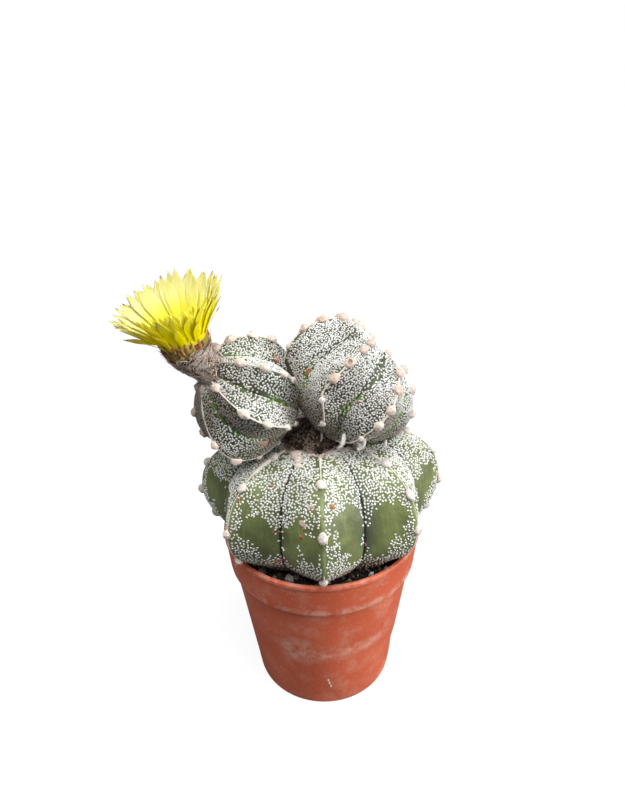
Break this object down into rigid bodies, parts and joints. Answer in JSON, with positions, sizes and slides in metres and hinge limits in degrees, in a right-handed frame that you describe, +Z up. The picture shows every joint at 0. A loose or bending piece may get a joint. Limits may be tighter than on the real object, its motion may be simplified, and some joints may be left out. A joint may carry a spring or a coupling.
{
  "type": "potted star cactus",
  "caption": "Ribbed white-flecked star cactus with two globular offsets and a yellow flower, growing in a round terracotta-coloured pot of soil.",
  "frame": {"origin": "centre of the pot's base, on the surface that it stands on", "axes": "+Z up, -Y towards the front; the left offset and its flower lean towards -X"},
  "size_m": [0.1233, 0.1022, 0.1933],
  "materials": {
    "pot": "terracotta-coloured plastic, dusty and scuffed",
    "soil": "dark potting mix with grit",
    "stem": "green cactus skin covered with white woolly flecks",
    "flower_tube": "grey-brown wool with dark red scales",
    "petals": "silky yellow petals, paler towards the tips",
    "stamens": "yellow filaments and pollen"
  },
  "bodies": {
    "root": {"pot": "pot", "soil": "soil", "main_stem": "stem", "left_offset": "stem", "right_offset": "stem", "flower_tube": "flower_tube", "petals": "petals", "stamens": "stamens"}
  },
  "joints": []
}
